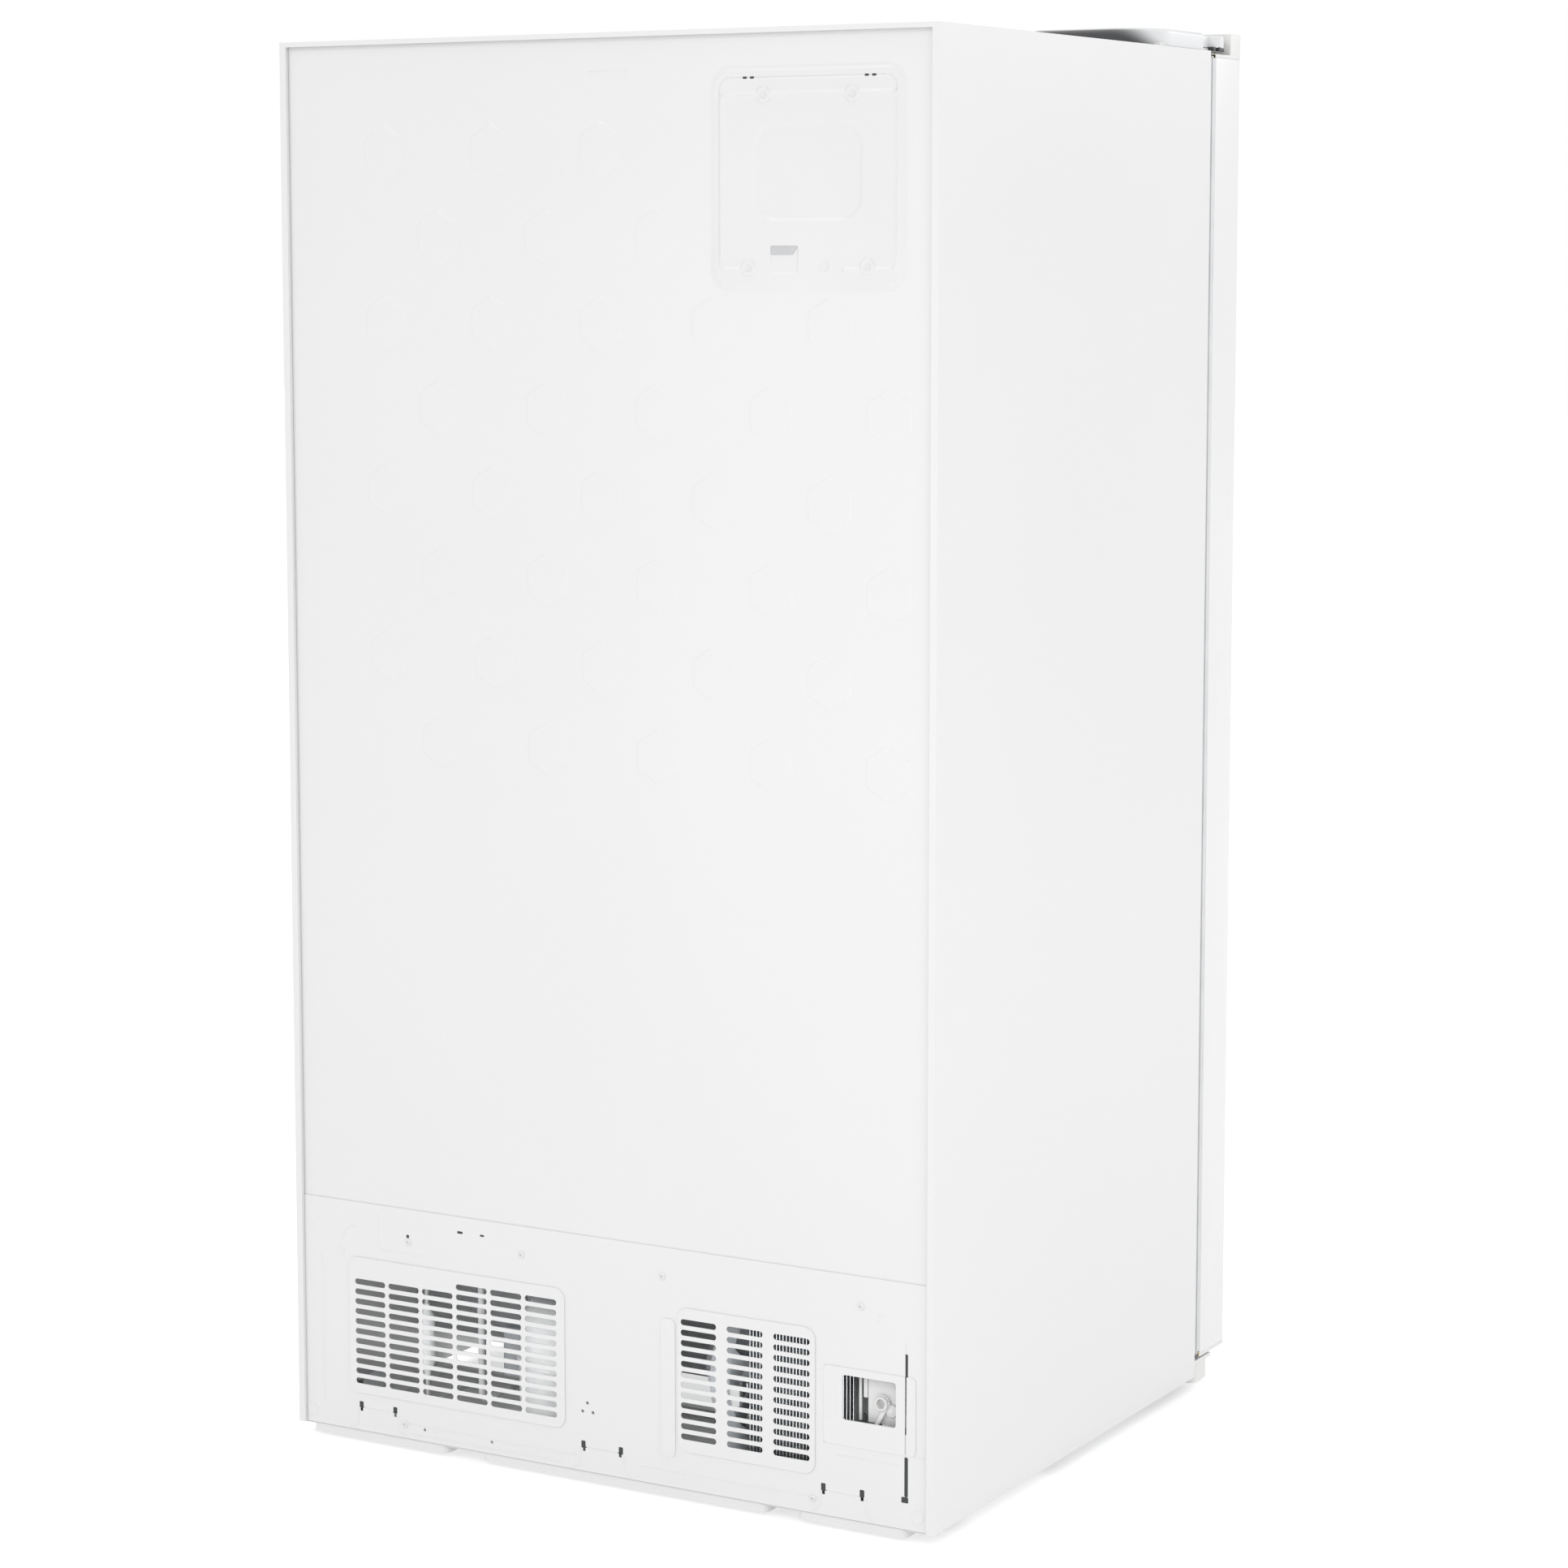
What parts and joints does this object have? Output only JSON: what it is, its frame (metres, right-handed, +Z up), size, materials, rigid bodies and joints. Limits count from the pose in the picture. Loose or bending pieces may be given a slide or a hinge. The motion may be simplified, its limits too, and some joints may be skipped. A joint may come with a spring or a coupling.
{
  "type": "side-by-side refrigerator",
  "caption": "Free-standing side-by-side refrigerator with slotted rear machine cover, hinged doors, water dispenser, drawers, rollers and levelling legs.",
  "frame": {"origin": "middle of the footprint on the floor", "axes": "+Z up, the doors face -Y, the freezer side is -X"},
  "size_m": [0.912, 0.895, 1.775],
  "materials": {
    "white_enamel": "satin",
    "board_cover_enamel": "satin",
    "door_enamel": "satin",
    "galvanised_steel": "matte",
    "compressor_black": "satin",
    "coil_black": "matte",
    "coil_aluminium": "satin",
    "copper_line": "satin",
    "white_liner": "satin",
    "clear_plastic": "gloss",
    "shelf_glass": "gloss",
    "rigid_foam": "matte",
    "seal_rubber": "matte",
    "mount_rubber": "matte",
    "handle_metal": "satin",
    "grey_plastic": "matte",
    "dark_plastic": "matte",
    "white_plastic": "satin",
    "board_green": "satin",
    "zinc_steel": "satin"
  },
  "bodies": {
    "cabinet": {"base_pan": "galvanised_steel", "board_cover": "board_cover_enamel", "board_tray": "white_plastic", "cabinet_foam": "rigid_foam", "cabinet_shell": "white_enamel", "compressor": "compressor_black", "compressor_mounts": "mount_rubber", "condenser": "coil_black", "control_board": "board_green", "door_hinges": "galvanised_steel", "drain_pan": "dark_plastic", "evaporator": "coil_aluminium", "evaporator_cover": "white_liner", "evaporator_fan_motor": "coil_aluminium", "fan_motor": "galvanised_steel", "fan_shroud": "dark_plastic", "filter_drier": "copper_line", "freezer_liner": "white_liner", "freezer_shelves": "shelf_glass", "fridge_liner": "white_liner", "fridge_shelves": "shelf_glass", "hinge_cover_left": "grey_plastic", "hinge_cover_right": "grey_plastic", "ice_maker": "white_plastic", "machine_cover": "white_enamel", "machine_deck": "galvanised_steel", "rear_panel": "white_enamel", "rear_screws": "zinc_steel", "refrigerant_tubes": "copper_line", "roller_brackets": "galvanised_steel", "toe_grille": "grey_plastic", "water_valve": "white_plastic"},
    "freezer_door": {"freezer_door_skin": "door_enamel", "freezer_door_foam": "rigid_foam", "freezer_door_liner": "white_liner", "freezer_door_gasket": "seal_rubber", "freezer_door_handle": "handle_metal", "freezer_door_bins": "clear_plastic", "dispenser_housing": "dark_plastic"},
    "fridge_door": {"fridge_door_skin": "door_enamel", "fridge_door_foam": "rigid_foam", "fridge_door_liner": "white_liner", "fridge_door_gasket": "seal_rubber", "fridge_door_handle": "handle_metal", "fridge_door_bins": "clear_plastic"},
    "dispenser_paddle": {"dispenser_paddle": "white_plastic"},
    "drip_tray": {"drip_tray": "white_plastic"},
    "condenser_fan": {"condenser_fan": "dark_plastic"},
    "evaporator_fan": {"evaporator_fan": "dark_plastic"},
    "front_roller_left": {"front_roller_left": "dark_plastic"},
    "front_roller_right": {"front_roller_right": "dark_plastic"},
    "rear_roller_left": {"rear_roller_left": "dark_plastic"},
    "rear_roller_right": {"rear_roller_right": "dark_plastic"},
    "levelling_leg_left": {"levelling_leg_left": "zinc_steel"},
    "levelling_leg_right": {"levelling_leg_right": "zinc_steel"},
    "lower_crisper": {"lower_crisper": "clear_plastic"},
    "upper_crisper": {"upper_crisper": "clear_plastic"},
    "freezer_drawer": {"freezer_drawer": "clear_plastic"},
    "ice_bucket": {"ice_bucket": "clear_plastic"},
    "water_filter": {"water_filter": "white_plastic"}
  },
  "joints": [
    {"name": "freezer_door_swing", "type": "hinge", "parent": "cabinet", "child": "freezer_door", "pos_m": [-0.436, -0.3365, 0.9], "axis": [0, 0, -1], "range_deg": [0, 120]},
    {"name": "fridge_door_swing", "type": "hinge", "parent": "cabinet", "child": "fridge_door", "pos_m": [0.436, -0.3365, 0.9], "axis": [0, 0, 1], "range_deg": [0, 120]},
    {"name": "paddle_push", "type": "hinge", "parent": "freezer_door", "child": "dispenser_paddle", "pos_m": [-0.274, -0.3585, 1.286], "axis": [1, 0, 0], "range_deg": [0, 8], "stiffness_Nm_per_rad": 0.5},
    {"name": "drip_tray_slide", "type": "slide", "parent": "freezer_door", "child": "drip_tray", "axis": [0, -1, 0], "range_m": [0, 0.045]},
    {"name": "condenser_fan_spin", "type": "hinge", "parent": "cabinet", "child": "condenser_fan", "pos_m": [-0.137, 0.3155, 0.14], "axis": [1, 0, 0], "continuous": true},
    {"name": "evaporator_fan_spin", "type": "hinge", "parent": "cabinet", "child": "evaporator_fan", "pos_m": [-0.245, 0.3167, 0.998], "axis": [0, 1, 0], "continuous": true},
    {"name": "front_roller_left_spin", "type": "hinge", "parent": "cabinet", "child": "front_roller_left", "pos_m": [-0.416, -0.1865, 0.022], "axis": [1, 0, 0], "continuous": true},
    {"name": "rear_roller_left_spin", "type": "hinge", "parent": "cabinet", "child": "rear_roller_left", "pos_m": [-0.416, 0.3655, 0.022], "axis": [1, 0, 0], "continuous": true},
    {"name": "levelling_leg_left_turn", "type": "hinge", "parent": "cabinet", "child": "levelling_leg_left", "pos_m": [-0.416, -0.2345, 0.03], "axis": [0, 0, 1], "continuous": true},
    {"name": "front_roller_right_spin", "type": "hinge", "parent": "cabinet", "child": "front_roller_right", "pos_m": [0.416, -0.1865, 0.022], "axis": [1, 0, 0], "continuous": true},
    {"name": "rear_roller_right_spin", "type": "hinge", "parent": "cabinet", "child": "rear_roller_right", "pos_m": [0.416, 0.3655, 0.022], "axis": [1, 0, 0], "continuous": true},
    {"name": "levelling_leg_right_turn", "type": "hinge", "parent": "cabinet", "child": "levelling_leg_right", "pos_m": [0.416, -0.2345, 0.03], "axis": [0, 0, 1], "continuous": true},
    {"name": "lower_crisper_slide", "type": "slide", "parent": "cabinet", "child": "lower_crisper", "axis": [0, -1, 0], "range_m": [0, 0.065]},
    {"name": "upper_crisper_slide", "type": "slide", "parent": "cabinet", "child": "upper_crisper", "axis": [0, -1, 0], "range_m": [0, 0.065]},
    {"name": "freezer_drawer_slide", "type": "slide", "parent": "cabinet", "child": "freezer_drawer", "axis": [0, -1, 0], "range_m": [0, 0.065]},
    {"name": "ice_bucket_slide", "type": "slide", "parent": "cabinet", "child": "ice_bucket", "axis": [0, -1, 0], "range_m": [0, 0.065]},
    {"name": "water_filter_turn", "type": "hinge", "parent": "cabinet", "child": "water_filter", "pos_m": [0.348, -0.05, 1.66], "axis": [0, 1, 0], "range_deg": [0, 90]}
  ]
}
